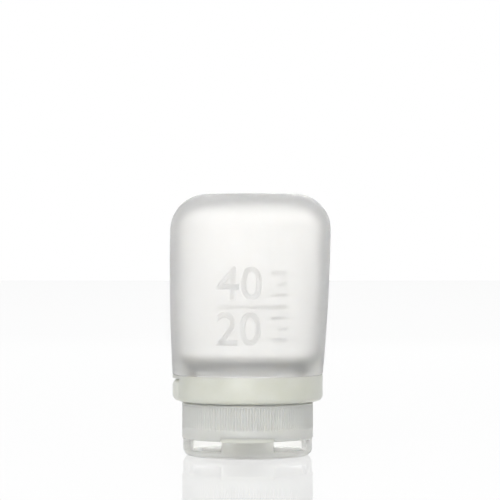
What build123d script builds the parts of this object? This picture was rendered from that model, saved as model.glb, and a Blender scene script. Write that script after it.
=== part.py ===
from build123d import *

import math
import os

# Squeezable silicone travel bottle that stands on its flip top cap, in millimetres.
# Z runs up from the surface that the closed lid stands on, along the axis of the cap.
# The lid's hinge is at -Y, its thumb lip and the loop's slide tab are at +Y, and the loop opens to -X.
# Bearings round the collar are in degrees from +Y towards -X.

# Heights of the stack, from the lid upwards
lid_height = 4.85
seam_gap = 0.10
skirt_height = 10.35
collar_gap = 0.40
collar_height = 7.60
body_height = 52.20

# Radii of the stack, from the bore of the neck outwards
neck_bore_r = 13.20
neck_wall = 2.20
thread_room = 2.10
skirt_wall = 1.45
sleeve_wall = 1.80
silicone_neck_wall = 1.80
bead_overhang = 1.00
collar_wall = 3.75
fit_gap = 0.10

# Flip lid
lid_inset = 0.35
lid_wall = 1.30
lid_floor = 1.40
lid_rim_fillet = 2.00
plug_gap = 0.35
plug_tip_gap = 0.85
plug_wall = 1.80
lip_reach = 0.95
lip_height = 1.80
lip_drop = 0.35
lip_half_angle = 13.0
lip_fillet = 0.30

# Living hinge at the back and the two windows beside it
hinge_width = 14.80
hinge_rise = 0.90
hinge_side_gap = 0.20
hinge_top_gap = 0.15
window_sill = 2.00
window_start = 23.4
window_finish = 63.5

# Screw cap
deck = 1.50
rib_count = 140
rib_depth = 0.32
rib_band_start = 3.00
rib_band_margin = 0.45
skirt_edge_fillet = 0.35
spout_r = 5.20
spout_wall = 1.25
spout_tip_gap = 0.95
spout_fillet = 0.40
socket_wall = 0.90
socket_rise = 0.20
scoop_r = 7.00
scoop_depth = 0.55

# No drip valve and the ring that holds it
valve_seat_width = 2.25
valve_flange = 0.80
valve_wall = 0.60
valve_drop = 2.00
valve_slit = 0.20
valve_slit_inset = 0.93
retainer_width = 2.00
retainer_lap = 1.60
retainer_height = 1.20
retainer_chamfer = 0.35

# Neck seal and threaded neck
seal_overlap = 0.50
seal_height = 1.00
neck_lip_fillet = 0.40
neck_flange = 1.70
neck_flange_recess = 0.20
sleeve_rise = 0.60
sleeve_chamfer = 0.60

# Collar ring
collar_brim = 0.90
collar_lower_fillet = 1.70
collar_upper_fillet = 0.30

# Carry loop, laid round the collar in its rebate
strap_thickness = 2.25
strap_edge = 0.15
strap_inner_fillet = 0.30
strap_floor_gap = 0.30
strap_top_gap = 0.30
strap_bottom_inset = 0.10
tab_nose_bearing = 4.0
tab_pivot_bearing = 15.0
tab_travel = 44.0
knuckle_bearing = 63.5
anchor_bearing = 112.0
knuckle_gap = 0.12
knuckle_relief = 1.00
anchor_gap = 0.70
anchor_wall = 0.35
seat_gap = 0.30
grip_count = 3
grip_width = 0.50
grip_height = 3.20
grip_depth = 0.35
grip_pitch_angle = 3.2
grip_start_bearing = 2.5

# Guide that keeps the tab on the collar
guide_neck_height = 1.20
guide_neck_depth = 0.70
guide_head_height = 2.10
guide_head_depth = 0.70
guide_gap = 0.12
guide_start_bearing = 3.0
guide_finish_bearing = 11.0
guide_run_on = 1.5
guide_drop = 1.50

# Silicone squeeze tube
body_flare = 1.50
body_taper = 4.55
waist_rise = 18.00
waist_flare = 1.05
waist_taper = 1.85
body_wall = 2.40
base_wall = 3.00
base_edge_height = 10.40
base_edge_width = 10.40
base_edge_depth = 7.20
base_edge_steps = 4
body_lean = 1.05
squareness_share = 0.25
oval_points = 24
shoulder_wall = 2.20
shoulder_rise = 3.00
bead_height = 1.40
bead_top_gap = 0.20

overrun = 1.00
quarter_turn = 90.0
half_turn = 180.0

# Levels that follow from the stack
skirt_bottom = lid_height + seam_gap
skirt_top = skirt_bottom + skirt_height
collar_bottom = skirt_top + collar_gap
collar_top = collar_bottom + collar_height
body_top = collar_top + body_height
deck_top = skirt_bottom + deck
spout_tip = lid_floor + spout_tip_gap
neck_lip = deck_top + seal_height + seam_gap
neck_flange_bottom = collar_bottom + neck_flange_recess
neck_flange_top = neck_flange_bottom + neck_flange
bead_bottom = neck_flange_top + fit_gap
collar_step_top = bead_bottom + bead_height + bead_top_gap
sleeve_top = collar_top + sleeve_rise
hinge_level = skirt_bottom + hinge_rise
shoulder_level = collar_top + shoulder_wall
cavity_level = shoulder_level + shoulder_rise
waist_level = collar_top + waist_rise
base_edge_level = body_top - base_edge_height

# Radii that follow from the bore of the neck
neck_r = neck_bore_r + neck_wall
skirt_r = neck_r + thread_room + skirt_wall
lid_r = skirt_r - lid_inset
sleeve_r = neck_bore_r + sleeve_wall
silicone_neck_bore_r = sleeve_r + fit_gap
silicone_neck_r = silicone_neck_bore_r + silicone_neck_wall
bead_r = silicone_neck_r + bead_overhang
collar_throat_r = silicone_neck_r + fit_gap
collar_bore_r = bead_r + fit_gap
collar_r = collar_bore_r + collar_wall

# Sizes that follow from the spout
spout_bore_r = spout_r - spout_wall
plug_r = spout_bore_r - plug_gap
plug_height = deck_top - valve_drop - plug_tip_gap - lid_floor
valve_cup_r = spout_bore_r - guide_gap
valve_slit_length = 2 * (valve_cup_r - valve_wall - valve_slit_inset)
valve_flange_r = spout_bore_r + valve_seat_width
retainer_r = valve_flange_r + retainer_width
socket_depth = valve_flange + retainer_height + socket_rise

# Sizes of the loop that follow from the collar
strap_outer_r = collar_r
strap_inner_r = collar_r - strap_thickness
strap_mid_r = collar_r - strap_thickness / 2
strap_outer_fillet = strap_thickness - strap_edge
rebate_r = strap_inner_r - strap_floor_gap
rebate_top = collar_top - collar_brim
strap_bottom = collar_bottom + strap_bottom_inset
strap_top = rebate_top - strap_top_gap
strap_height = strap_top - strap_bottom
strap_mid = (strap_bottom + strap_top) / 2
nose_r = strap_height / 2
guide_middle = strap_top - guide_drop

# Sizes of the tube that follow from the collar
body_half_width = collar_r + body_flare
body_half_depth = collar_r - body_taper
waist_half_width = collar_r + waist_flare
waist_half_depth = collar_r - waist_taper


def ring_point(radius, bearing, level):
    """Point on a circle about the cap's axis."""
    angle = math.radians(bearing)
    return (-radius * math.sin(angle), radius * math.cos(angle), level)


def ring_sector(inner_r, outer_r, start, finish):
    """Plan of a stretch of a ring between two bearings."""
    with BuildSketch() as sector:
        with BuildLine():
            outer = CenterArc((0, 0), outer_r, quarter_turn + start, finish - start)
            inner = CenterArc((0, 0), inner_r, quarter_turn + start, finish - start)
            Line(outer @ 0, inner @ 0)
            Line(outer @ 1, inner @ 1)
        make_face()
    return sector.sketch


def outward_plane(radius, bearing, level):
    """Plane that faces away from the axis, with its x direction up."""
    outward = ring_point(1, bearing, 0)
    return Plane(origin=ring_point(radius, bearing, level), x_dir=(0, 0, 1), z_dir=outward)


def strap_section():
    """Upright section of the loop's strap, flat inside and domed outside."""
    with BuildSketch(Plane.XZ) as section:
        with Locations((strap_mid_r, strap_mid)):
            Rectangle(strap_thickness, strap_height)
        outer_corners = section.vertices().group_by(Axis.X)[-1]
        inner_corners = section.vertices().group_by(Axis.X)[0]
        fillet(outer_corners, strap_outer_fillet)
        fillet(inner_corners, strap_inner_fillet)
    return section.sketch


def zigzag_outline(root_r, crest_r, count):
    """Closed outline of fine upright ribs round the skirt."""
    step = math.tau / (2 * count)
    radii = (crest_r, root_r)
    return [(radii[i % 2] * math.cos(i * step), radii[i % 2] * math.sin(i * step)) for i in range(2 * count)]


def tube_oval(half_width, half_depth, level):
    """Plan of the tube at a level: round at the collar, then squarer and leaning to +X as it rises."""
    rise_share = (level - collar_top) / body_height
    power = 2 / (2 + squareness_share * rise_share)
    points = []
    for step in range(oval_points):
        across = math.cos(math.tau * step / oval_points)
        along = math.sin(math.tau * step / oval_points)
        x = half_width * math.copysign(abs(across) ** power, across)
        y = half_depth * math.copysign(abs(along) ** power, along)
        points.append((x + body_lean * rise_share, y))
    with BuildSketch() as oval:
        with BuildLine():
            Spline(*points, periodic=True)
        make_face()
    return oval.sketch


def base_edge(side_wall, end_wall):
    """Level, half width and half depth of each oval up the rounded edge of the base, inset by its walls."""
    for step in range(base_edge_steps + 1):
        angle = math.radians(quarter_turn * step / base_edge_steps)
        drop = (base_edge_height - end_wall) * (1 - math.sin(angle))
        narrowing = (base_edge_width - side_wall) * (1 - math.cos(angle))
        thinning = (base_edge_depth - side_wall) * (1 - math.cos(angle))
        half_width = body_half_width - side_wall - narrowing
        half_depth = body_half_depth - side_wall - thinning
        yield body_top - end_wall - drop, half_width, half_depth


# Flip lid: a shallow cup with a hinge block, two windows, a sealing plug and a thumb lip
with BuildPart() as flip_lid:
    with BuildSketch(Plane.XY):
        Circle(lid_r)
    extrude(amount=lid_height)
    fillet(flip_lid.edges().group_by(Axis.Z)[0], lid_rim_fillet)
    with BuildSketch(Plane.XY.offset(lid_floor)):
        Circle(lid_r - lid_wall)
    extrude(amount=lid_height, mode=Mode.SUBTRACT)
    for side in (1, -1):
        first, last = sorted((half_turn + side * window_start, half_turn + side * window_finish))
        with BuildSketch(Plane.XY.offset(window_sill)):
            add(ring_sector(lid_r - lid_wall - overrun, lid_r + overrun, first, last))
        extrude(amount=lid_height - window_sill + overrun, mode=Mode.SUBTRACT)
    with BuildSketch(Plane.XY.offset(lid_floor)):
        Circle(plug_r)
        Circle(plug_r - plug_wall, mode=Mode.SUBTRACT)
    extrude(amount=plug_height)
    with BuildSketch(Plane.XY.offset(lid_height - lip_drop - lip_height)) as lip:
        add(ring_sector(lid_r - lid_wall / 2, lid_r + lip_reach, -lip_half_angle, lip_half_angle))
        fillet(lip.vertices().group_by(Axis.Y)[-1], lip_fillet)
    extrude(amount=lip_height)
    with BuildSketch(Plane.XY.offset(lid_floor)) as hinge_block:
        Circle(lid_r)
        Circle(lid_r - lid_wall, mode=Mode.SUBTRACT)
        with Locations((0, -lid_r)):
            Rectangle(hinge_width, lid_r, mode=Mode.INTERSECT)
    extrude(amount=hinge_level - hinge_top_gap - lid_floor)
flip_lid.part.label = "flip_lid"

# Screw cap: ribbed skirt, deck, spout and the socket that the valve's retainer snaps into
with BuildPart() as screw_cap:
    with BuildSketch(Plane.XZ) as skirt_section:
        with Locations((0, (skirt_bottom + skirt_top) / 2)):
            Rectangle(2 * skirt_r, skirt_height)
        fillet(skirt_section.vertices(), skirt_edge_fillet)
        with Locations((skirt_r, (skirt_bottom + skirt_top) / 2)):
            Rectangle(2 * skirt_r, skirt_height, mode=Mode.INTERSECT)
    revolve(axis=Axis.Z)
    with BuildSketch(Plane.XY.offset(skirt_bottom + rib_band_start)):
        Circle(skirt_r + overrun)
        with BuildLine():
            Polyline(zigzag_outline(skirt_r - rib_depth, skirt_r, rib_count), close=True)
        make_face(mode=Mode.SUBTRACT)
    extrude(amount=skirt_height - rib_band_start - rib_band_margin, mode=Mode.SUBTRACT)
    with BuildSketch(Plane.XY.offset(deck_top)):
        Circle(skirt_r - skirt_wall)
    extrude(amount=skirt_height, mode=Mode.SUBTRACT)
    with BuildSketch(Plane.XY.offset(deck_top)):
        Circle(retainer_r + guide_gap + socket_wall)
        Circle(retainer_r + guide_gap, mode=Mode.SUBTRACT)
    extrude(amount=socket_depth)
    with BuildSketch(Plane.XY.offset(spout_tip)):
        Circle(spout_r)
    extrude(amount=skirt_bottom - spout_tip)
    fillet(screw_cap.edges().group_by(Axis.Z)[0], spout_fillet)
    with BuildSketch(Plane.XY.offset(spout_tip - overrun)):
        Circle(spout_bore_r)
    extrude(amount=deck_top - spout_tip + 2 * overrun, mode=Mode.SUBTRACT)
    with BuildSketch(Plane.XY.offset(skirt_bottom - overrun)):
        Circle(skirt_r + overrun)
        Circle(lid_r - lid_wall - hinge_side_gap, mode=Mode.SUBTRACT)
        with Locations((0, -skirt_r)):
            Rectangle(hinge_width + 2 * hinge_side_gap, skirt_r, mode=Mode.INTERSECT)
    extrude(amount=hinge_rise + overrun, mode=Mode.SUBTRACT)
    with BuildSketch(outward_plane(skirt_r - scoop_depth, 0, skirt_bottom)):
        Circle(scoop_r)
        with Locations((rib_band_start - scoop_r, 0)):
            Rectangle(2 * scoop_r, 2 * scoop_r, mode=Mode.INTERSECT)
    extrude(amount=scoop_depth + overrun, mode=Mode.SUBTRACT)
screw_cap.part.label = "screw_cap"

# No drip valve: a flanged silicone cup whose floor is slit across both ways
with BuildPart() as nozzle_valve:
    with BuildSketch(Plane.XY.offset(deck_top)):
        Circle(valve_flange_r)
    extrude(amount=valve_flange)
    with BuildSketch(Plane.XY.offset(deck_top - valve_drop)):
        Circle(valve_cup_r)
    extrude(amount=valve_drop)
    with BuildSketch(Plane.XY.offset(deck_top - valve_drop + valve_wall)):
        Circle(valve_cup_r - valve_wall)
    extrude(amount=valve_drop + valve_flange, mode=Mode.SUBTRACT)
    with BuildSketch(Plane.XY.offset(deck_top - valve_drop - overrun)):
        Rectangle(valve_slit_length, valve_slit)
        Rectangle(valve_slit, valve_slit_length)
    extrude(amount=valve_wall + 2 * overrun, mode=Mode.SUBTRACT)
nozzle_valve.part.label = "nozzle_valve"

# Retainer: a ring that snaps into the socket and clamps the valve's flange
with BuildPart() as valve_retainer:
    with BuildSketch(Plane.XY.offset(deck_top)):
        Circle(retainer_r)
        Circle(valve_flange_r + guide_gap, mode=Mode.SUBTRACT)
    extrude(amount=valve_flange)
    with BuildSketch(Plane.XY.offset(deck_top + valve_flange)):
        Circle(retainer_r)
        Circle(valve_flange_r - retainer_lap, mode=Mode.SUBTRACT)
    extrude(amount=retainer_height)
    chamfer(valve_retainer.edges().group_by(Axis.Z)[-1], retainer_chamfer)
valve_retainer.part.label = "valve_retainer"

# Neck seal: a flat silicone ring between the deck and the lip of the neck
with BuildPart() as neck_seal:
    with BuildSketch(Plane.XY.offset(deck_top)):
        Circle(neck_r + seal_overlap)
        Circle(neck_bore_r - seal_overlap, mode=Mode.SUBTRACT)
    extrude(amount=seal_height)
neck_seal.part.label = "neck_seal"

# Neck insert: the rigid threaded neck, with the flange and sleeve that hold the silicone
with BuildPart() as neck_insert:
    with BuildSketch(Plane.XY.offset(neck_lip)):
        Circle(neck_r)
    extrude(amount=neck_flange_bottom - neck_lip)
    fillet(neck_insert.edges().group_by(Axis.Z)[0], neck_lip_fillet)
    with BuildSketch(Plane.XY.offset(neck_flange_bottom)):
        Circle(bead_r)
    extrude(amount=neck_flange)
    with BuildSketch(Plane.XY.offset(neck_flange_top)):
        Circle(sleeve_r)
    extrude(amount=sleeve_top - neck_flange_top)
    chamfer(neck_insert.edges().group_by(Axis.Z)[-1], sleeve_chamfer)
    with BuildSketch(Plane.XY.offset(neck_lip - overrun)):
        Circle(neck_bore_r)
    extrude(amount=sleeve_top - neck_lip + 2 * overrun, mode=Mode.SUBTRACT)
neck_insert.part.label = "neck_insert"

# Seat at the start of the rebate, where the tab's rounded nose lies
with BuildPart() as nose_seat:
    with BuildSketch(outward_plane(rebate_r - overrun, tab_nose_bearing, strap_mid)):
        Circle(nose_r + seat_gap)
    extrude(amount=strap_thickness + strap_floor_gap + 2 * overrun)
    with BuildSketch(Plane.XY.offset(collar_bottom - overrun)):
        Circle(collar_r + overrun)
        Circle(rebate_r, mode=Mode.SUBTRACT)
    extrude(amount=collar_height + 2 * overrun, mode=Mode.INTERSECT)

# Collar ring: clamps the silicone and carries the loop, its guide and its anchor pocket
with BuildPart() as collar_ring:
    with BuildSketch(Plane.XZ) as collar_section:
        with Locations(((collar_r + collar_throat_r) / 2, (collar_bottom + collar_top) / 2)):
            Rectangle(collar_r - collar_throat_r, collar_height)
        outer_corners = collar_section.vertices().group_by(Axis.X)[-1].sort_by(Axis.Y)
        fillet(outer_corners[0], collar_lower_fillet)
        fillet(outer_corners[-1], collar_upper_fillet)
    revolve(axis=Axis.Z)
    with BuildSketch(Plane.XY.offset(collar_bottom)):
        Circle(collar_bore_r)
    extrude(amount=collar_step_top - collar_bottom, mode=Mode.SUBTRACT)
    with BuildSketch(Plane.XY.offset(collar_bottom - overrun)):
        add(ring_sector(rebate_r, collar_r + overrun, tab_nose_bearing, anchor_bearing))
    extrude(amount=rebate_top - collar_bottom + overrun, mode=Mode.SUBTRACT)
    add(nose_seat.part, mode=Mode.SUBTRACT)
    with BuildSketch(Plane.XY.offset(collar_bottom - overrun)):
        with Locations(ring_point(strap_mid_r, anchor_bearing, 0)):
            Circle(strap_thickness / 2 + anchor_gap)
        Circle(collar_bore_r + anchor_wall, mode=Mode.SUBTRACT)
    extrude(amount=rebate_top - collar_bottom + overrun, mode=Mode.SUBTRACT)
    guide_first = guide_start_bearing - guide_run_on
    guide_last = guide_finish_bearing + tab_travel + guide_run_on
    with BuildSketch(Plane.XY.offset(guide_middle - guide_neck_height / 2 - guide_gap)):
        add(ring_sector(rebate_r - guide_neck_depth, rebate_r + overrun, guide_first, guide_last))
    extrude(amount=guide_neck_height + 2 * guide_gap, mode=Mode.SUBTRACT)
    guide_head_r = rebate_r - guide_neck_depth
    with BuildSketch(Plane.XY.offset(guide_middle - guide_head_height / 2 - guide_gap)):
        add(ring_sector(guide_head_r - guide_head_depth, guide_head_r, guide_first, guide_last))
    extrude(amount=guide_head_height + 2 * guide_gap, mode=Mode.SUBTRACT)
collar_ring.part.label = "collar_ring"

# Outline of the tab seen from outside: a bar with a round nose
with BuildPart() as tab_envelope:
    with BuildSketch(Plane.XY.offset(strap_bottom)):
        add(ring_sector(rebate_r, collar_r + overrun, tab_nose_bearing, tab_pivot_bearing))
    extrude(amount=strap_height)
    with BuildSketch(outward_plane(rebate_r, tab_nose_bearing, strap_mid)):
        Circle(nose_r)
    extrude(amount=strap_thickness + overrun)

# Slide tab: the loop's free end, which runs round the collar on its guide
with BuildPart() as slide_tab:
    add(strap_section())
    revolve(axis=Axis.Z)
    add(tab_envelope.part, mode=Mode.INTERSECT)
    relief_angle = math.degrees(knuckle_relief / strap_mid_r)
    with BuildSketch(Plane.XY.offset(strap_bottom - overrun)):
        relief_start = tab_pivot_bearing - relief_angle
        add(ring_sector(rebate_r, collar_r + overrun, relief_start, tab_pivot_bearing + relief_angle))
        with Locations(ring_point(strap_mid_r, tab_pivot_bearing, 0)):
            Circle(strap_thickness / 2 + knuckle_gap)
    extrude(amount=strap_height + 2 * overrun, mode=Mode.SUBTRACT)
    with BuildSketch(Plane.XY.offset(guide_middle - guide_neck_height / 2)):
        add(ring_sector(guide_head_r - guide_gap, strap_mid_r, guide_start_bearing, guide_finish_bearing))
    extrude(amount=guide_neck_height)
    with BuildSketch(Plane.XY.offset(guide_middle - guide_head_height / 2)):
        head_outer_r = guide_head_r - guide_gap
        head_inner_r = guide_head_r - guide_head_depth + guide_gap
        add(ring_sector(head_inner_r, head_outer_r, guide_start_bearing, guide_finish_bearing))
    extrude(amount=guide_head_height)
    for number in range(grip_count):
        bearing = grip_start_bearing + number * grip_pitch_angle
        with BuildSketch(outward_plane(strap_outer_r - grip_depth, bearing, strap_mid)):
            SlotOverall(grip_height, grip_width)
        extrude(amount=grip_depth + overrun, mode=Mode.SUBTRACT)
slide_tab.part.label = "slide_tab"

# Front stretch of the loop's strap, from the tab to the middle of the loop
with BuildPart() as loop_front:
    add(strap_section())
    revolve(axis=Axis.Z)
    with BuildSketch(Plane.XY.offset(strap_bottom)):
        relief_finish = knuckle_bearing - relief_angle
        add(ring_sector(rebate_r, collar_r + overrun, tab_pivot_bearing, relief_finish))
        with Locations(ring_point(strap_mid_r, tab_pivot_bearing, 0)):
            Circle(strap_thickness / 2)
        with Locations(ring_point(strap_mid_r, knuckle_bearing, 0)):
            Circle(strap_thickness / 2 + knuckle_gap, mode=Mode.SUBTRACT)
    extrude(amount=strap_height, mode=Mode.INTERSECT)
loop_front.part.label = "loop_front"

# Rear stretch of the loop's strap, from the middle of the loop to its anchor in the collar
with BuildPart() as loop_rear:
    add(strap_section())
    revolve(axis=Axis.Z)
    with BuildSketch(Plane.XY.offset(strap_bottom)):
        add(ring_sector(rebate_r, collar_r + overrun, knuckle_bearing, anchor_bearing))
        for bearing in (knuckle_bearing, anchor_bearing):
            with Locations(ring_point(strap_mid_r, bearing, 0)):
                Circle(strap_thickness / 2)
    extrude(amount=strap_height, mode=Mode.INTERSECT)
loop_rear.part.label = "loop_rear"

# Inside of the squeeze tube, from its mouth to its base
with BuildPart() as tube_cavity:
    with BuildSketch(Plane.XY.offset(cavity_level)):
        add(tube_oval(collar_r - body_wall, collar_r - body_wall, cavity_level))
    with BuildSketch(Plane.XY.offset(waist_level)):
        add(tube_oval(waist_half_width - body_wall, waist_half_depth - body_wall, waist_level))
    with BuildSketch(Plane.XY.offset(base_edge_level)):
        add(tube_oval(body_half_width - body_wall, body_half_depth - body_wall, base_edge_level))
    loft()
    for level, half_width, half_depth in base_edge(body_wall, base_wall):
        with BuildSketch(Plane.XY.offset(level)):
            add(tube_oval(half_width, half_depth, level))
    loft()
    with BuildSketch(Plane.XY.offset(shoulder_level)):
        Circle(silicone_neck_bore_r)
    with BuildSketch(Plane.XY.offset(cavity_level)):
        add(tube_oval(collar_r - body_wall, collar_r - body_wall, cavity_level))
    loft()
    with BuildSketch(Plane.XY.offset(bead_bottom - overrun)):
        Circle(silicone_neck_bore_r)
    extrude(amount=shoulder_level - bead_bottom + overrun)

# Squeeze tube: a soft silicone body, round at the collar and a squarer, leaning oval at the base
with BuildPart() as squeeze_tube:
    with BuildSketch(Plane.XY.offset(collar_top)):
        add(tube_oval(collar_r, collar_r, collar_top))
    with BuildSketch(Plane.XY.offset(waist_level)):
        add(tube_oval(waist_half_width, waist_half_depth, waist_level))
    with BuildSketch(Plane.XY.offset(base_edge_level)):
        add(tube_oval(body_half_width, body_half_depth, base_edge_level))
    loft()
    for level, half_width, half_depth in base_edge(0, 0):
        with BuildSketch(Plane.XY.offset(level)):
            add(tube_oval(half_width, half_depth, level))
    loft()
    with BuildSketch(Plane.XY.offset(bead_bottom)):
        Circle(silicone_neck_r)
    extrude(amount=collar_top - bead_bottom)
    with BuildSketch(Plane.XY.offset(bead_bottom)):
        Circle(bead_r)
    extrude(amount=bead_height)
    add(tube_cavity.part, mode=Mode.SUBTRACT)
squeeze_tube.part.label = "squeeze_tube"

os.makedirs("parts", exist_ok=True)
export_step(flip_lid.part, "parts/flip_lid.step")
export_step(screw_cap.part, "parts/screw_cap.step")
export_step(nozzle_valve.part, "parts/nozzle_valve.step")
export_step(valve_retainer.part, "parts/valve_retainer.step")
export_step(neck_seal.part, "parts/neck_seal.step")
export_step(neck_insert.part, "parts/neck_insert.step")
export_step(collar_ring.part, "parts/collar_ring.step")
export_step(slide_tab.part, "parts/slide_tab.step")
export_step(loop_front.part, "parts/loop_front.step")
export_step(loop_rear.part, "parts/loop_rear.step")
export_step(squeeze_tube.part, "parts/squeeze_tube.step")
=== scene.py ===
import math

import bmesh
import bpy
from mathutils import Matrix, Vector


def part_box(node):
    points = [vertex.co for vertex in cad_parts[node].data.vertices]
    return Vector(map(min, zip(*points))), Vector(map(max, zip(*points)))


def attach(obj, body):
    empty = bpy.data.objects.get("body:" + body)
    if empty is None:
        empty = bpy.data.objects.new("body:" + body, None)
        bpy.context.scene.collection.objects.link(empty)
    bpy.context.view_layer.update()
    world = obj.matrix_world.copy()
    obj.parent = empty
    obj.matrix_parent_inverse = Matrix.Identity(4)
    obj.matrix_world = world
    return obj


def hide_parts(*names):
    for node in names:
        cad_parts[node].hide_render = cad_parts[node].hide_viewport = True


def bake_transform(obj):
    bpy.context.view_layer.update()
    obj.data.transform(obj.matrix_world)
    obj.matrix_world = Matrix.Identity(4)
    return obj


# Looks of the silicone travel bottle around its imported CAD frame.
# Sizes and places are in millimetres. Bearings are in degrees from +Y towards -X. Shares run from 0 to 1.
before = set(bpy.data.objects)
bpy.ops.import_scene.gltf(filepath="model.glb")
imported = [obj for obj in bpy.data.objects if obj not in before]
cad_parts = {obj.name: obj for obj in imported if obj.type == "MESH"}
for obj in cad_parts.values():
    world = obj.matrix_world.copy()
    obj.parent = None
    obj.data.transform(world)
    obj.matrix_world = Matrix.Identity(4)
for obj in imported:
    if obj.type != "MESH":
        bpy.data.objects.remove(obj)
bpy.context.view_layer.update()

MM = 0.001


def span(node):
    """Lowest and highest corner of a CAD node, in millimetres."""
    low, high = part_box(node)
    return low / MM, high / MM


cap_low, cap_high = span("screw_cap")
seal_low, seal_high = span("neck_seal")
valve_low, valve_high = span("nozzle_valve")
collar_high = span("collar_ring")[1]
rear_low, rear_high = span("loop_rear")
tube_low, tube_high = span("squeeze_tube")

# Levels and radii that the frame gives
cap_r = cap_high.x
spout_tip = cap_low.z
skirt_top = cap_high.z
deck_top = seal_low.z
collar_r = collar_high.x
collar_top = collar_high.z
body_top = tube_high.z
bead_bottom = tube_low.z

# Squeeze tube: body, waist and rounded base
tube_half_width = 23.25
tube_half_depth = 17.20
waist_rise = 18.00
waist_half_width = 22.80
waist_half_depth = 19.90
base_edge_height = 10.40
base_edge_width = 10.40
base_edge_depth = 7.20
tube_wall = 2.40
base_wall = 3.00
tube_lean = 1.05
squareness_share = 0.25

# Squeeze tube: shoulder, neck and bead
shoulder_wall = 2.20
shoulder_rise = 3.00
throat_flare = 1.60
throat_flare_rise = 1.10
throat_edge_rise = 0.15
throat_edge_drop = 0.50
bead_height = 1.40
bead_r = 17.90
silicone_neck_r = 16.90
silicone_neck_bore_r = 15.10
soft_edge = 0.35

# Squeeze tube: points round its oval, rings along its wall and its rounded edge, and rings across its base
tube_columns = 160
wall_steps = 26
edge_steps = 16
base_shares = (0.8, 0.55, 0.3, 0.1)

# Raised scale on the hinge side of the tube: plain numbers with the level of their foot, a bar and ticks
scale_rise = 0.35
scale_root = 0.15
scale_edge = 0.10
scale_edge_steps = 2
number_curve_steps = 6
number_height = 9.50
number_left = -8.80
numbers = (("40", 45.10), ("20", 32.30))
bar_level = 43.25
bar_left = -8.10
bar_right = 11.30
bar_height = 1.10
tick_right = bar_right
long_tick = 4.60
short_tick = 2.80
tick_height = 0.95
tick_count = 7
tick_start = 33.80
tick_pitch = 3.20

# Flip lid
lid_wall = 1.30
lid_r = 18.60
lid_height = 4.85

# Screw cap: deck, skirt, spout and the socket of the valve's retainer
deck = 1.50
skirt_bottom = deck_top - deck
skirt_wall = 1.45
skirt_bore_r = cap_r - skirt_wall
skirt_fillet = 0.35
skirt_inner_fillet = 0.40
deck_fillet = 0.60
spout_r = 5.20
spout_bore_r = 3.95
spout_bore_tip_fillet = 0.25
spout_bore_root_fillet = 0.15
spout_tip_fillet = 0.40
spout_root_fillet = 0.30
socket_r = 8.32
socket_wall = 0.90
socket_depth = 2.20
socket_tip_fillet = 0.25
socket_root_fillet = 0.15

# Screw cap: ribs, with the places of the rings along them
rib_count = 140
rib_columns = 6
rib_depth = 0.30
plain_band = 3.00
plain_rim = 0.45
rib_bottom = skirt_bottom + plain_band
rib_top = skirt_top - plain_rim
rib_fade = 0.45
rib_margin = 0.02
rib_sharpness = 1.4
rib_shares = (0.02, 0.04, 0.07, 0.35, 0.65, 0.93, 0.96, 0.98)

# Screw cap: thumb scoop, and the notch that the lid's hinge block stands in
scoop_depth = 0.55
hinge_half_width = 7.40
hinge_side_gap = 0.20
notch_height = 0.90
hinge_level = skirt_bottom + notch_height
hinge_level_margin = 0.05
notch_half_width = hinge_half_width + hinge_side_gap
notch_r = lid_r - lid_wall - hinge_side_gap
notch_inside = 0.06
notch_outside = 0.04

# Film of the living hinge: its thickness, its four outer points and where it bends
film_thickness = 0.30
film_columns = 28
film_foot = (lid_r - 0.02, lid_height - 0.15)
film_low = (lid_r + 0.14, lid_height + 0.40)
film_high = (cap_r - 0.08, hinge_level - 0.10)
film_head = (cap_r + 0.01, hinge_level + 0.25)

# Threads of the cap and the neck, right handed, one turn in 4 mm
thread_lead = 4.00
thread_crest = 0.50
thread_root = 1.20
thread_reach = 1.25
thread_sink = 0.15
thread_turns = 1.25
thread_columns = 96
thread_fade_share = 0.125
thread_end_share = 0.04
neck_thread_start = 9.30
cap_thread_start = 8.00

# No drip valve and neck seal
valve_wall = 0.60
valve_flange = 0.80
valve_cup_r = 3.83
valve_dish = 0.35
dish_width_share = 0.45
dish_height_share = 0.6
dish_round = 0.50
valve_columns = 64
slit_length = 4.60
slit_width = 0.20
slit_height = 2.40
seal_overlap = 0.50
neck_r = seal_high.x - seal_overlap
insert_wall = 2.20
seal_columns = 128
soft_fillet = 0.25

# Carry loop: the strap's section, and its two stretches from the rounded nose to the anchored end
strap_thickness = 2.25
strap_inner_r = collar_r - strap_thickness
strap_mid_r = collar_r - strap_thickness / 2
strap_middle = (rear_low.z + rear_high.z) / 2
strap_half_height = (rear_high.z - rear_low.z) / 2
strap_outer_fillet = 1.90
strap_inner_fillet = 0.30
strap_arc_steps = 7
nose_bearing = 4.0
nose_steps = 12
nose_end_share = 0.05
strap_split = 41.0
front_steps = 185
anchor = 112.0
rear_steps = 142
anchor_steps = 6
anchor_end_share = 0.08

# Carry loop: grip slots of the tab, and the T shaped guide on its inner side
grip_bearings = (2.5, 5.7, 8.9)
grip_half_width = 0.30
grip_half_height = 1.60
grip_side_slope = grip_half_width / 2
grip_end_slope = grip_half_width
grip_depth = 0.35
guide_level = 20.60
guide_start = 3.0
guide_finish = 11.0
guide_steps = 12
guide_head_half_height = 1.05
guide_head_outer_r = 18.38
guide_head_inner_r = 17.92
guide_neck_half_height = 0.60
guide_neck_lap = 0.05
guide_neck_root = 0.20
guide_neck_inner_r = guide_head_outer_r - guide_neck_lap
guide_neck_outer_r = strap_inner_r + guide_neck_root

# Rounded corners of outlines, which leave a nearly straight corner as it is
arc_steps = 4
straight_angle = 179

# Clean up of meshes, and the fine bevel on the edges of CAD nodes
merge_reach = 0.002
sliver_reach = 0.0005
weld_reach = 0.001
edge_bevel = 0.12
bevel_angle = 50
bevel_steps = 2

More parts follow.
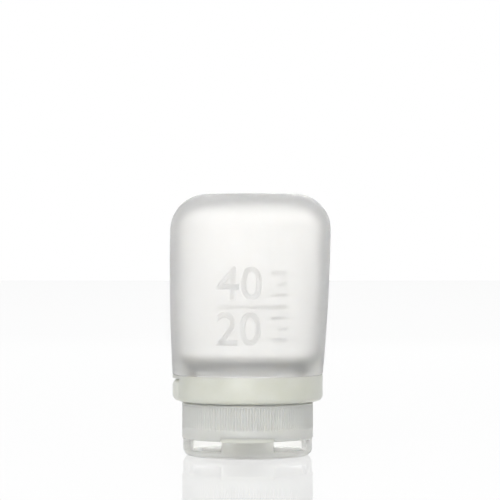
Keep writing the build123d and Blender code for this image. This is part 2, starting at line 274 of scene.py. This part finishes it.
# Noise behind the tone, polish and grain of the materials, and how light scatters inside them
tone_noise = 180
polish_noise = 900
grain_noise = 5200
soft_detail = 3.0
grain_detail = 2.0
tone_start = 0.35
tone_finish = 0.65
grain_height = 0.04
scatter_radii = (1.0, 0.97, 0.92)

# Camera
camera_distance = 700.0
camera_height = 59.3
camera_side = 0.7
sensor_width = 36.0
lens = 173.8
near_clip = 10.0
far_clip = 20000.0

# Floor, world and lamps, whose powers are in watts
white_tone = (1, 1, 1, 1)
floor_half_size = 4000.0
floor_gap = 0.03
floor_tone = (0.95, 0.95, 0.95, 1)
floor_roughness = 0.9
floor_mirror_roughness = 0.06
floor_mirror_share = 0.36
floor_white_share = 0.90
world_tone = (0.985, 0.99, 1.0, 1)
world_level = 0.62
lamp_size = 600.0
lamp_aim_level = 35.0
key_place = (-120.0, -780.0, 380.0)
key_power = 3.9
back_place = (120.0, 700.0, 430.0)
back_power = 1.0


# Materials
def material(name):
    """New material, its nodes and links, and its Principled shader."""
    made = bpy.data.materials.new(name)
    made.use_nodes = True
    nodes = made.node_tree.nodes
    return made, nodes, made.node_tree.links, nodes["Principled BSDF"]


def soft_noise(nodes, links, scale, detail):
    """Noise that lies still on the object."""
    place = nodes.new("ShaderNodeTexCoord")
    noise = nodes.new("ShaderNodeTexNoise")
    noise.inputs["Scale"].default_value = scale
    noise.inputs["Detail"].default_value = detail
    links.new(place.outputs["Object"], noise.inputs["Vector"])
    return noise


def tinted(nodes, links, shader, dark, light):
    """Base colour that wanders between two close tones."""
    noise = soft_noise(nodes, links, tone_noise, soft_detail)
    ramp = nodes.new("ShaderNodeValToRGB")
    first, last = ramp.color_ramp.elements
    first.position = tone_start
    first.color = (*dark, 1)
    last.position = tone_finish
    last.color = (*light, 1)
    links.new(noise.outputs["Fac"], ramp.inputs["Fac"])
    links.new(ramp.outputs["Color"], shader.inputs["Base Color"])


def rough_between(nodes, links, shader, low, high):
    """Roughness that wanders between two values."""
    noise = soft_noise(nodes, links, polish_noise, soft_detail)
    spread = nodes.new("ShaderNodeMapRange")
    spread.inputs["To Min"].default_value = low
    spread.inputs["To Max"].default_value = high
    links.new(noise.outputs["Fac"], spread.inputs["Value"])
    links.new(spread.outputs["Result"], shader.inputs["Roughness"])


def grained(nodes, links, shader, strength):
    """Fine surface grain as bump."""
    noise = soft_noise(nodes, links, grain_noise, grain_detail)
    bump = nodes.new("ShaderNodeBump")
    bump.inputs["Strength"].default_value = strength
    bump.inputs["Distance"].default_value = grain_height * MM
    links.new(noise.outputs["Fac"], bump.inputs["Height"])
    links.new(bump.outputs["Normal"], shader.inputs["Normal"])


def make_polymer(name, dark, light, transmission, roughness, ior, scatter, grain):
    """Frosted translucent polymer with cloudy tone, uneven polish and fine grain."""
    made, nodes, links, shader = material(name)
    shader.inputs["Transmission Weight"].default_value = transmission
    shader.inputs["IOR"].default_value = ior
    shader.inputs["Subsurface Weight"].default_value = 1.0
    shader.inputs["Subsurface Scale"].default_value = scatter * MM
    shader.inputs["Subsurface Radius"].default_value = scatter_radii
    tinted(nodes, links, shader, dark, light)
    rough_between(nodes, links, shader, *roughness)
    grained(nodes, links, shader, grain)
    return made


# Frosted clear silicone of the tube
tube_silicone = make_polymer(
    "tube_silicone",
    dark=(0.974, 0.967, 0.950),
    light=(0.986, 0.980, 0.966),
    transmission=0.82,
    roughness=(0.36, 0.46),
    ior=1.28,
    scatter=6.0,
    grain=0.25,
)

# The same silicone where it is raised as the scale, made paler and less clear than the tube as a painted
# highlight on the raised marks
scale_silicone_painted_highlight = make_polymer(
    "scale_silicone_painted_highlight",
    dark=(0.990, 0.985, 0.972),
    light=(0.996, 0.992, 0.982),
    transmission=0.75,
    roughness=(0.36, 0.46),
    ior=1.28,
    scatter=6.0,
    grain=0.25,
)

# Softer, cloudier silicone of the valve and the seal
valve_silicone = make_polymer(
    "valve_silicone",
    dark=(0.93, 0.93, 0.91),
    light=(0.96, 0.96, 0.94),
    transmission=0.55,
    roughness=(0.45, 0.60),
    ior=1.41,
    scatter=2.0,
    grain=0.25,
)

# Natural polypropylene of the cap
cap_plastic = make_polymer(
    "cap_plastic",
    dark=(0.902, 0.909, 0.848),
    light=(0.930, 0.937, 0.882),
    transmission=0.42,
    roughness=(0.30, 0.42),
    ior=1.49,
    scatter=2.0,
    grain=0.30,
)

# The cap's plastic where it is thin and clear, as the lid
lid_plastic = make_polymer(
    "lid_plastic",
    dark=(0.985, 0.985, 0.955),
    light=(0.996, 0.996, 0.975),
    transmission=0.96,
    roughness=(0.46, 0.58),
    ior=1.20,
    scatter=3.0,
    grain=0.30,
)

# The cap's plastic in the film of the living hinge, coloured darker than the cap as painted shade at the
# hinge
film_plastic_painted_shade = make_polymer(
    "film_plastic_painted_shade",
    dark=(0.835, 0.842, 0.765),
    light=(0.862, 0.870, 0.795),
    transmission=0.30,
    roughness=(0.30, 0.42),
    ior=1.49,
    scatter=0.5,
    grain=0.20,
)

# Silky white plastic of the collar, its olive tint partly the plastic's own and partly a painted green
# reflection
collar_plastic = make_polymer(
    "collar_plastic",
    dark=(0.862, 0.872, 0.782),
    light=(0.900, 0.910, 0.828),
    transmission=0.42,
    roughness=(0.28, 0.38),
    ior=1.49,
    scatter=2.0,
    grain=0.20,
)

# Paler plastic of the neck insert and the valve's retainer
insert_plastic = make_polymer(
    "insert_plastic",
    dark=(0.975, 0.975, 0.960),
    light=(0.988, 0.988, 0.975),
    transmission=0.60,
    roughness=(0.30, 0.42),
    ior=1.40,
    scatter=3.0,
    grain=0.20,
)

# Flexible plastic of the carry loop, in the collar's tone, whose olive tint is partly the plastic's own
# and partly a painted green reflection
loop_plastic = make_polymer(
    "loop_plastic",
    dark=(0.862, 0.872, 0.782),
    light=(0.900, 0.910, 0.828),
    transmission=0.30,
    roughness=(0.32, 0.42),
    ior=1.49,
    scatter=2.0,
    grain=0.20,
)


# Shapes that several pieces share
def placed(name, data):
    """New object in the scene."""
    made = bpy.data.objects.new(name, data)
    bpy.context.scene.collection.objects.link(made)
    return made


def mesh_piece(name, points, faces, finish, sharp):
    """Closed mesh from points in millimetres, smooth but for edges sharper than an angle."""
    mesh = bpy.data.meshes.new(name)
    mesh.from_pydata([Vector(p) * MM for p in points], [], faces)
    work = bmesh.new()
    work.from_mesh(mesh)
    bmesh.ops.remove_doubles(work, verts=work.verts, dist=merge_reach * MM)
    bmesh.ops.dissolve_degenerate(work, dist=sliver_reach * MM, edges=work.edges)
    bmesh.ops.recalc_face_normals(work, faces=work.faces)
    work.to_mesh(mesh)
    work.free()
    mesh.polygons.foreach_set("use_smooth", [True] * len(mesh.polygons))
    mesh.set_sharp_from_angle(angle=math.radians(sharp))
    mesh.materials.append(finish)
    return placed(name, mesh)


def fade(value):
    """Smooth step from 0 to 1."""
    held = min(1.0, max(0.0, value))
    return held * held * (3 - 2 * held)


def turned(radius, angle, level):
    """Point on a circle about the cap's axis, by its angle from +X in radians."""
    return (radius * math.cos(angle), radius * math.sin(angle), level)


def ring_point(radius, bearing, level):
    """Point on a circle about the cap's axis, by its bearing."""
    angle = math.radians(bearing)
    return (-radius * math.sin(angle), radius * math.cos(angle), level)


def rounded(corners, steps=arc_steps):
    """Closed outline whose corners (x, y, radius) are rounded by arcs."""
    outline = []
    count = len(corners)
    for i, (x, y, radius) in enumerate(corners):
        here = Vector((x, y))
        before = Vector(corners[i - 1][:2]) - here
        after = Vector(corners[(i + 1) % count][:2]) - here
        turn = before.angle(after)
        if radius <= 0 or turn > math.radians(straight_angle):
            outline.append((x, y))
            continue
        reach = radius / math.tan(turn / 2)
        start = here + before.normalized() * reach
        finish = here + after.normalized() * reach
        inwards = (before.normalized() + after.normalized()).normalized()
        middle = here + inwards * (radius / math.sin(turn / 2))
        first = start - middle
        sweep = first.angle_signed(finish - middle)
        for k in range(steps + 1):
            spoke = first.copy()
            spoke.rotate(Matrix.Rotation(-sweep * k / steps, 2))
            outline.append(tuple(middle + spoke))
    return outline


def lathe(outline, columns, shape=None):
    """Points and faces of a closed outline (radius, level) turned about Z; shape moves each point."""
    points = []
    for column in range(columns):
        angle = math.tau * column / columns
        for radius, level in outline:
            r, z = shape(radius, level, angle) if shape else (radius, level)
            points.append(turned(r, angle, z))
    count = len(outline)
    faces = []
    for column in range(columns):
        here = column * count
        beyond = (column + 1) % columns * count
        for i in range(count):
            j = (i + 1) % count
            faces.append((here + i, beyond + i, beyond + j, here + j))
    return points, faces


def joined(rings):
    """Points of closed rings in a row, and the faces between each ring and the next."""
    count = len(rings[0])
    points = [p for ring in rings for p in ring]
    faces = []
    for k in range(len(rings) - 1):
        here = k * count
        beyond = here + count
        for i in range(count):
            j = (i + 1) % count
            faces.append((here + i, here + j, beyond + j, beyond + i))
    return points, faces


def stacked(rings):
    """Points and faces of rings stacked into one closed skin with a fan at each end."""
    count = len(rings[0])
    points, faces = joined(rings)
    for k, ring in ((0, rings[0]), (len(rings) - 1, rings[-1])):
        middle = len(points)
        points.append(tuple(sum(p[axis] for p in ring) / count for axis in range(3)))
        for i in range(count):
            faces.append((k * count + i, k * count + (i + 1) % count, middle))
    return points, faces


def swept(sections):
    """Points and faces of closed sections joined in a row with a face at each end."""
    count = len(sections[0])
    points, faces = joined(sections)
    faces.append(tuple(range(count)))
    faces.append(tuple((len(sections) - 1) * count + i for i in range(count)))
    return points, faces


# Squeeze tube
def tube_half_sizes(level):
    """Half width and half depth of the tube's outer oval, on a curve through collar, waist and base."""
    rise = level - collar_top
    straight = body_top - base_edge_height - collar_top
    held = min(rise, straight)
    collar_share = (held - waist_rise) * (held - straight) / (waist_rise * straight)
    waist_share = held * (held - straight) / (waist_rise * (waist_rise - straight))
    base_share = held * (held - waist_rise) / (straight * (straight - waist_rise))
    return (
        collar_share * collar_r + waist_share * waist_half_width + base_share * tube_half_width,
        collar_share * collar_r + waist_share * waist_half_depth + base_share * tube_half_depth,
    )


def rise_share(level):
    """How far up the tube a level lies, from 0 at the collar to 1 at the base."""
    return max(0.0, (level - collar_top) / (body_top - collar_top))


def oval(half_width, half_depth, level):
    """Ring of points on the tube's oval: round at the collar, then squarer and leaning to +X."""
    power = 2 / (2 + squareness_share * rise_share(level))
    ring = []
    for i in range(tube_columns):
        angle = math.tau * i / tube_columns
        across, deep = math.cos(angle), math.sin(angle)
        x = half_width * math.copysign(abs(across) ** power, across)
        y = half_depth * math.copysign(abs(deep) ** power, deep)
        ring.append((x + tube_lean * rise_share(level), y, level))
    return ring


def body_rings(side_wall, end_wall, start):
    """Rings of the tube's skin from a level up to the middle of its base, inset by its walls."""
    edge_start = body_top - base_edge_height
    rings = []
    for k in range(wall_steps):
        level = start + (edge_start - start) * k / wall_steps
        half_width, half_depth = tube_half_sizes(level)
        rings.append(oval(half_width - side_wall, half_depth - side_wall, level))
    for k in range(edge_steps + 1):
        angle = math.pi / 2 * k / edge_steps
        level = body_top - end_wall - (base_edge_height - end_wall) * (1 - math.sin(angle))
        half_width = tube_half_width - side_wall - (base_edge_width - side_wall) * (1 - math.cos(angle))
        half_depth = tube_half_depth - side_wall - (base_edge_depth - side_wall) * (1 - math.cos(angle))
        rings.append(oval(half_width, half_depth, level))
    inner_width = tube_half_width - base_edge_width
    inner_depth = tube_half_depth - base_edge_depth
    for share in base_shares:
        rings.append(oval(inner_width * share, inner_depth * share, body_top - end_wall))
    return rings


def neck_rings():
    """Circular rings of the tube's skin, down the bore, round the bead and out to the collar's edge."""
    shoulder = collar_top + shoulder_wall
    bead_top = bead_bottom + bead_height
    outline = [
        (silicone_neck_bore_r + throat_flare, shoulder + throat_flare_rise),
        (silicone_neck_bore_r + soft_edge, shoulder + throat_edge_rise),
        (silicone_neck_bore_r, shoulder - throat_edge_drop),
        (silicone_neck_bore_r, (shoulder + bead_bottom) / 2),
        (silicone_neck_bore_r, bead_bottom + soft_edge),
        (silicone_neck_bore_r + soft_edge, bead_bottom),
        (bead_r - soft_edge, bead_bottom),
        (bead_r, bead_bottom + soft_edge),
        (bead_r, bead_top - soft_edge),
        (bead_r - soft_edge, bead_top),
        (silicone_neck_r, bead_top),
        (silicone_neck_r, (bead_top + collar_top) / 2),
        (silicone_neck_r, collar_top),
        ((silicone_neck_r + collar_r) / 2, collar_top),
        (collar_r - soft_edge, collar_top),
    ]
    angles = [math.tau * i / tube_columns for i in range(tube_columns)]
    return [[turned(r, angle, level) for angle in angles] for r, level in outline]


def make_tube():
    """Soft tube with real walls: base, shoulder, neck and bead."""
    cavity = collar_top + shoulder_wall + shoulder_rise
    inner = body_rings(tube_wall, base_wall, cavity)
    inner.reverse()
    outer = body_rings(0, 0, collar_top + soft_edge)
    points, faces = stacked(inner + neck_rings() + outer)
    tube = mesh_piece("tube_body", points, faces, tube_silicone, sharp=60)
    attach(tube, "bottle")
    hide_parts("squeeze_tube")


# Raised scale
def tube_front(x, level):
    """Depth (y) of the tube's hinge side at a place."""
    half_width, half_depth = tube_half_sizes(level)
    power = 2 + squareness_share * rise_share(level)
    across = min(1.0, abs(x - tube_lean * rise_share(level)) / half_width)
    return -half_depth * (1 - across ** power) ** (1 / power)


def number_mark(text, foot):
    """Mesh of a raised number, flat in x and y, with its height in z."""
    words = bpy.data.curves.new("number", "FONT")
    words.body = text
    words.size = number_height
    words.extrude = (scale_rise + scale_root) / 2 - scale_edge
    words.bevel_depth = scale_edge
    words.bevel_resolution = scale_edge_steps
    words.resolution_u = number_curve_steps
    holder = placed("number", words)
    bpy.context.view_layer.update()
    mesh = bpy.data.meshes.new_from_object(holder)
    bpy.data.objects.remove(holder)
    work = bmesh.new()
    work.from_mesh(mesh)
    bpy.data.meshes.remove(mesh)
    low = min(v.co.y for v in work.verts)
    high = max(v.co.y for v in work.verts)
    left = min(v.co.x for v in work.verts)
    grow = number_height / (high - low)
    for vert in work.verts:
        vert.co.x = number_left + (vert.co.x - left) * grow
        vert.co.y = foot + (vert.co.y - low) * grow
    return work


def bar_mark(left, right, level, height):
    """Mesh of a raised bar, flat in x and y, with bevelled edges."""
    work = bmesh.new()
    half = (scale_rise + scale_root) / 2
    corners = [(left, level - height / 2), (right, level - height / 2)]
    corners += [(right, level + height / 2), (left, level + height / 2)]
    low = [work.verts.new((x, z, -half)) for x, z in corners]
    high = [work.verts.new((x, z, half)) for x, z in corners]
    work.faces.new(low[::-1])
    work.faces.new(high)
    for i in range(4):
        j = (i + 1) % 4
        work.faces.new((low[i], low[j], high[j], high[i]))
    top = [e for e in work.edges if all(v.co.z > 0 for v in e.verts)]
    bmesh.ops.bevel(work, geom=top, offset=scale_edge, segments=scale_edge_steps, affect="EDGES")
    return work


def scale_marks():
    """Flat meshes of the numbers, the bar and the ticks that stay clear of it."""
    marks = [number_mark(text, foot) for text, foot in numbers]
    marks.append(bar_mark(bar_left, bar_right, bar_level, bar_height))
    for i in range(tick_count):
        length = short_tick if i % 2 else long_tick
        level = tick_start + i * tick_pitch
        if abs(level - bar_level) > bar_height:
            marks.append(bar_mark(tick_right - length, tick_right, level, tick_height))
    return marks


def make_scale():
    """Raised scale, cut at every millimetre across so that it bends with the tube's curved side."""
    points, faces = [], []
    for work in scale_marks():
        for place in range(math.ceil(number_left), math.ceil(bar_right)):
            everything = work.verts[:] + work.edges[:] + work.faces[:]
            bmesh.ops.bisect_plane(work, geom=everything, plane_co=(place, 0, 0), plane_no=(1, 0, 0))
        work.verts.index_update()
        start = len(points)
        for vert in work.verts:
            x, level, rise = vert.co
            out = rise + (scale_rise - scale_root) / 2
            points.append((x, tube_front(x, level) - out, level))
        faces += [[start + v.index for v in face.verts] for face in work.faces]
        work.free()
    scale = mesh_piece("tube_scale", points, faces, scale_silicone_painted_highlight, sharp=50)
    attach(scale, "bottle")


# Screw cap
def cap_shape(radius, level, angle):
    """Ribs, thumb scoop and the notch that leaves room for the lid's hinge block."""
    x, y = radius * math.cos(angle), radius * math.sin(angle)
    if radius > cap_r - rib_margin and rib_bottom < level < rib_top:
        rise = fade((level - rib_bottom) / rib_fade) * fade((rib_top - level) / rib_fade)
        wave = 0.5 - 0.5 * math.cos(rib_count * angle)
        return radius - rib_depth * rise * wave ** rib_sharpness, level
    hinge_side = y < 0 and abs(x) < notch_half_width
    if hinge_side and radius > notch_r and level < hinge_level:
        return radius, hinge_level
    if level < rib_bottom and y > cap_r - scoop_depth:
        flat = (cap_r - scoop_depth) / math.sin(angle)
        return min(radius, flat), level
    return radius, level


def cap_corners():
    """Corners (radius, level, fillet) of the cap's section: spout, skirt, deck and socket."""
    corners = [
        (spout_bore_r, spout_tip, spout_bore_tip_fillet),
        (spout_r, spout_tip, spout_tip_fillet),
        (spout_r, skirt_bottom, spout_root_fillet),
        (notch_r - notch_inside, skirt_bottom, 0),
        (notch_r + notch_outside, skirt_bottom, 0),
        (cap_r, skirt_bottom, skirt_fillet),
        (cap_r, hinge_level + hinge_level_margin, 0),
        (cap_r, rib_bottom - rib_margin, 0),
    ]
    corners += [(cap_r, rib_bottom + (rib_top - rib_bottom) * share, 0) for share in rib_shares]
    corners += [
        (cap_r, rib_top + rib_margin, 0),
        (cap_r, skirt_top, skirt_fillet),
        (skirt_bore_r, skirt_top, skirt_inner_fillet),
        (skirt_bore_r, deck_top, deck_fillet),
        (socket_r + socket_wall, deck_top, socket_root_fillet),
        (socket_r + socket_wall, deck_top + socket_depth, socket_tip_fillet),
        (socket_r, deck_top + socket_depth, socket_tip_fillet),
        (socket_r, deck_top, 0),
        (spout_bore_r, deck_top, spout_bore_root_fillet),
    ]
    return corners


def make_cap():
    """Ribbed skirt with deck, spout and retainer socket in one skin."""
    points, faces = lathe(rounded(cap_corners()), rib_count * rib_columns, cap_shape)
    cap = mesh_piece("cap_shell", points, faces, cap_plastic, sharp=35)
    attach(cap, "cap")
    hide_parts("screw_cap")


# Threads
def helix_ridge(base_r, reach, start_level):
    """Points and faces of a right handed thread's ridge that fades out at both ends."""
    steps = round(thread_columns * thread_turns)
    sink = -math.copysign(thread_sink, reach)
    sections = []
    for k in range(steps + 1):
        share = k / steps
        angle = math.tau * thread_turns * share
        level = start_level + thread_lead * thread_turns * share
        ends = fade(share / thread_fade_share) * fade((1 - share) / thread_fade_share)
        rise = reach * max(thread_end_share, ends)
        profile = [(base_r + sink, -thread_root / 2), (base_r + rise, -thread_crest / 2)]
        profile += [(base_r + rise, thread_crest / 2), (base_r + sink, thread_root / 2)]
        sections.append([turned(r, angle, level + z) for r, z in profile])
    return swept(sections)


def make_threads():
    """Meshing threads on the neck and inside the cap."""
    points, faces = helix_ridge(neck_r, thread_reach, neck_thread_start)
    outer = mesh_piece("neck_thread", points, faces, insert_plastic, sharp=35)
    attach(outer, "bottle")
    points, faces = helix_ridge(skirt_bore_r, -thread_reach, cap_thread_start)
    inner = mesh_piece("cap_thread", points, faces, cap_plastic, sharp=35)
    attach(inner, "cap")


# Living hinge
def make_film():
    """Thin film of the living hinge, from the lid's block to the cap's skirt."""
    width_angle = math.asin(hinge_half_width / lid_r)
    outer = [film_foot, film_low, film_high, film_head]
    profile = outer + [(r - film_thickness, z) for r, z in outer[::-1]]
    sections = []
    for k in range(film_columns + 1):
        angle = -math.pi / 2 + width_angle * (2 * k / film_columns - 1)
        sections.append([turned(r, angle, z) for r, z in profile])
    points, faces = swept(sections)
    film = mesh_piece("hinge_film", points, faces, film_plastic_painted_shade, sharp=50)
    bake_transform(film)


# No drip valve and neck seal
def carve(piece, cutter):
    """Takes the cutter's solid out of a piece's mesh."""
    tool = piece.modifiers.new("carve", "BOOLEAN")
    tool.operation = "DIFFERENCE"
    tool.solver = "EXACT"
    tool.object = cutter
    bpy.context.view_layer.update()
    shown = piece.evaluated_get(bpy.context.evaluated_depsgraph_get())
    carved = bpy.data.meshes.new_from_object(shown)
    piece.modifiers.clear()
    piece.data = carved
    bpy.data.objects.remove(cutter)


def make_valve():
    """Flanged silicone cup with a dished floor that is slit across both ways."""
    floor_low = valve_low.z
    floor_high = floor_low + valve_wall
    flange_top = deck_top + valve_flange
    bore_r = valve_cup_r - valve_wall
    dish_r = valve_cup_r * dish_width_share
    dish_rise = valve_dish * dish_height_share
    corners = [
        (0.0, floor_low + valve_dish, 0),
        (dish_r, floor_low + dish_rise, dish_round),
        (valve_cup_r, floor_low, soft_fillet),
        (valve_cup_r, deck_top, 0),
        (valve_high.x, deck_top, 0),
        (valve_high.x, flange_top, soft_fillet),
        (bore_r, flange_top, soft_fillet),
        (bore_r, floor_high, soft_fillet),
        (dish_r, floor_high + dish_rise, dish_round),
        (0.0, floor_high + valve_dish, 0),
    ]
    points, faces = lathe(rounded(corners), valve_columns)
    valve = mesh_piece("slit_valve", points, faces, valve_silicone, sharp=50)
    for width, length in ((slit_width, slit_length), (slit_length, slit_width)):
        bpy.ops.mesh.primitive_cube_add(size=MM, location=(0, 0, floor_low * MM))
        cutter = bpy.context.object
        cutter.scale = (width, length, slit_height)
        carve(valve, cutter)
    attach(valve, "cap")
    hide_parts("nozzle_valve")


def make_seal():
    """Soft flat ring under the lip of the neck."""
    inner_r = neck_r - (insert_wall + seal_overlap)
    corners = [
        (inner_r, seal_low.z, soft_fillet),
        (seal_high.x, seal_low.z, soft_fillet),
        (seal_high.x, seal_high.z, soft_fillet),
        (inner_r, seal_high.z, soft_fillet),
    ]
    points, faces = lathe(rounded(corners), seal_columns)
    seal = mesh_piece("seal_ring", points, faces, valve_silicone, sharp=50)
    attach(seal, "seal")
    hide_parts("neck_seal")


# Carry loop
def strap_outline():
    """Upright section of the strap as (radius, level), flat inside and domed outside."""
    low, high = rear_low.z, rear_high.z
    corners = [
        (strap_inner_r, low, strap_inner_fillet),
        (collar_r, low, strap_outer_fillet),
        (collar_r, strap_middle, 0),
        (collar_r, high, strap_outer_fillet),
        (strap_inner_r, high, strap_inner_fillet),
        (strap_inner_r, strap_middle, 0),
    ]
    return rounded(corners, steps=strap_arc_steps)


def gripped(radius, bearing, level):
    """Radius of the front stretch's skin, with the tab's grip slots pressed into its outer face."""
    if radius <= strap_mid_r:
        return radius
    near = min(abs(bearing - grip) for grip in grip_bearings) * math.radians(collar_r)
    across = fade((grip_half_width - near) / grip_side_slope)
    along = fade((grip_half_height - abs(level - strap_middle)) / grip_end_slope)
    return radius - grip_depth * across * along


def front_sections(outline):
    """Sections of the strap from its rounded nose to the knuckle between its two stretches."""
    nose_angle = math.degrees(strap_half_height / strap_mid_r)
    sections = []
    for k in range(nose_steps + 1):
        turn = math.pi / 2 * k / nose_steps
        share = max(nose_end_share, math.sin(turn))
        bearing = nose_bearing - nose_angle * math.cos(turn)
        ring = [(r, strap_middle + (z - strap_middle) * share) for r, z in outline]
        sections.append([ring_point(gripped(r, bearing, z), bearing, z) for r, z in ring])
    for k in range(1, front_steps + 1):
        bearing = nose_bearing + (strap_split - nose_bearing) * k / front_steps
        sections.append([ring_point(gripped(r, bearing, z), bearing, z) for r, z in outline])
    return sections


def rear_sections(outline):
    """Sections of the strap from that knuckle to its rounded end in the anchor pocket."""
    end_angle = math.degrees(strap_thickness / 2 / strap_mid_r)
    sections = []
    for k in range(rear_steps + 1):
        bearing = strap_split + (anchor - strap_split) * k / rear_steps
        sections.append([ring_point(r, bearing, z) for r, z in outline])
    for k in range(1, anchor_steps + 1):
        turn = math.pi / 2 * k / anchor_steps
        share = max(anchor_end_share, math.cos(turn))
        bearing = anchor + end_angle * math.sin(turn)
        ring = [(strap_mid_r + (r - strap_mid_r) * share, z) for r, z in outline]
        sections.append([ring_point(r, bearing, z) for r, z in ring])
    return sections


def make_strap():
    """The loop's one strap, in two stretches that are flush where they meet."""
    outline = strap_outline()
    points, faces = swept(front_sections(outline))
    piece = mesh_piece("loop_strap_front", points, faces, loop_plastic, sharp=50)
    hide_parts("slide_tab", "loop_front")
    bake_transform(piece)
    points, faces = swept(rear_sections(outline))
    piece = mesh_piece("loop_strap_rear", points, faces, loop_plastic, sharp=50)
    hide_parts("loop_rear")
    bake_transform(piece)


def guide_bar(inner_r, outer_r, half_height):
    """Points and faces of a curved bar on the guide's level."""
    low, high = guide_level - half_height, guide_level + half_height
    corners = ((inner_r, low), (outer_r, low), (outer_r, high), (inner_r, high))
    sections = []
    for k in range(guide_steps + 1):
        bearing = guide_start + (guide_finish - guide_start) * k / guide_steps
        sections.append([ring_point(r, bearing, z) for r, z in corners])
    return swept(sections)


def make_guide():
    """T shaped guide on the tab's inner side, which runs in the collar's slot."""
    neck_points, neck_faces = guide_bar(guide_neck_inner_r, guide_neck_outer_r, guide_neck_half_height)
    head_points, head_faces = guide_bar(guide_head_inner_r, guide_head_outer_r, guide_head_half_height)
    shift = len(neck_points)
    faces = neck_faces + [tuple(i + shift for i in face) for face in head_faces]
    guide = mesh_piece("tab_guide", neck_points + head_points, faces, loop_plastic, sharp=40)
    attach(guide, "tab")


# CAD nodes that keep their shape
def dress(node, finish):
    """Finish on a CAD node, whose edges get a fine bevel."""
    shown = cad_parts[node]
    shown.data.materials.clear()
    shown.data.materials.append(finish)
    weld = shown.modifiers.new("weld", "WELD")
    weld.merge_threshold = weld_reach * MM
    bevel = shown.modifiers.new("bevel", "BEVEL")
    bevel.limit_method = "ANGLE"
    bevel.angle_limit = math.radians(bevel_angle)
    bevel.width = edge_bevel * MM
    bevel.segments = bevel_steps


# Floor, world, lamps and camera
def seen_or_mirrored(nodes, links):
    """1 for rays from the camera or through gloss and clear parts, and 0 for plain light."""
    path = nodes.new("ShaderNodeLightPath")
    seen_or_glossy = nodes.new("ShaderNodeMath")
    seen_or_glossy.operation = "MAXIMUM"
    any_of_three = nodes.new("ShaderNodeMath")
    any_of_three.operation = "MAXIMUM"
    links.new(path.outputs["Is Camera Ray"], seen_or_glossy.inputs[0])
    links.new(path.outputs["Is Glossy Ray"], seen_or_glossy.inputs[1])
    links.new(seen_or_glossy.outputs["Value"], any_of_three.inputs[0])
    links.new(path.outputs["Is Transmission Ray"], any_of_three.inputs[1])
    return any_of_three.outputs["Value"]


def floor_white():
    """Matte white that the light falls on, seen as a brighter white with a faint mirror image."""
    made, nodes, links, matte = material("floor_white")
    matte.inputs["Base Color"].default_value = floor_tone
    matte.inputs["Roughness"].default_value = floor_roughness
    matte.inputs["Specular IOR Level"].default_value = 0.0
    white = nodes.new("ShaderNodeEmission")
    white.inputs["Color"].default_value = white_tone
    mirror = nodes.new("ShaderNodeBsdfGlossy")
    mirror.inputs["Color"].default_value = white_tone
    mirror.inputs["Roughness"].default_value = floor_mirror_roughness
    polish = nodes.new("ShaderNodeMixShader")
    polish.inputs["Fac"].default_value = floor_mirror_share
    glow = nodes.new("ShaderNodeMixShader")
    glow.inputs["Fac"].default_value = floor_white_share
    shown = nodes.new("ShaderNodeMixShader")
    links.new(matte.outputs["BSDF"], glow.inputs[1])
    links.new(white.outputs["Emission"], glow.inputs[2])
    links.new(glow.outputs["Shader"], polish.inputs[1])
    links.new(mirror.outputs["BSDF"], polish.inputs[2])
    links.new(seen_or_mirrored(nodes, links), shown.inputs["Fac"])
    links.new(matte.outputs["BSDF"], shown.inputs[1])
    links.new(polish.outputs["Shader"], shown.inputs[2])
    links.new(shown.outputs["Shader"], nodes["Material Output"].inputs["Surface"])
    return made


def make_floor():
    """Wide level floor, a hair below the face that the bottle stands on."""
    far = floor_half_size
    corners = [(-far, -far), (far, -far), (far, far), (-far, far)]
    points = [Vector((x, y, -floor_gap)) * MM for x, y in corners]
    mesh = bpy.data.meshes.new("floor")
    mesh.from_pydata(points, [], [(0, 1, 2, 3)])
    mesh.materials.append(floor_white())
    floor = placed("floor", mesh)


def make_world():
    """White where it is seen, mirrored or seen through, and a plain level for the light on the object."""
    world = bpy.data.worlds.new("studio")
    bpy.context.scene.world = world
    world.use_nodes = True
    nodes, links = world.node_tree.nodes, world.node_tree.links
    plain = nodes["Background"]
    plain.inputs["Color"].default_value = world_tone
    plain.inputs["Strength"].default_value = world_level
    white = nodes.new("ShaderNodeBackground")
    white.inputs["Color"].default_value = white_tone
    mix = nodes.new("ShaderNodeMixShader")
    links.new(seen_or_mirrored(nodes, links), mix.inputs["Fac"])
    links.new(plain.outputs["Background"], mix.inputs[1])
    links.new(white.outputs["Background"], mix.inputs[2])
    links.new(mix.outputs["Shader"], nodes["World Output"].inputs["Surface"])


def make_lamp(name, place, power):
    """Square soft lamp that faces the bottle."""
    data = bpy.data.lights.new(name, "AREA")
    data.shape = "SQUARE"
    data.size = lamp_size * MM
    data.energy = power
    lamp = placed(name, data)
    lamp.location = Vector(place) * MM
    lamp.visible_camera = False
    aim = Vector((0, 0, lamp_aim_level)) - Vector(place)
    lamp.rotation_euler = aim.to_track_quat("-Z", "Y").to_euler()


def make_camera():
    """Level camera on the hinge side, as in the photograph."""
    data = bpy.data.cameras.new("camera")
    data.sensor_width = sensor_width
    data.lens = lens
    data.clip_start = near_clip * MM
    data.clip_end = far_clip * MM
    camera = placed("camera", data)
    camera.location = Vector((camera_side, -camera_distance, camera_height)) * MM
    camera.rotation_euler = (math.pi / 2, 0, 0)
    bpy.context.scene.camera = camera


make_tube()
make_scale()
make_cap()
make_threads()
make_film()
make_valve()
make_seal()
make_strap()
make_guide()
dress("flip_lid", lid_plastic)
dress("neck_insert", insert_plastic)
dress("valve_retainer", insert_plastic)
dress("collar_ring", collar_plastic)

make_floor()
make_world()
make_lamp("key", key_place, key_power)
make_lamp("back", back_place, back_power)
make_camera()
bpy.context.scene.view_settings.view_transform = "Standard"
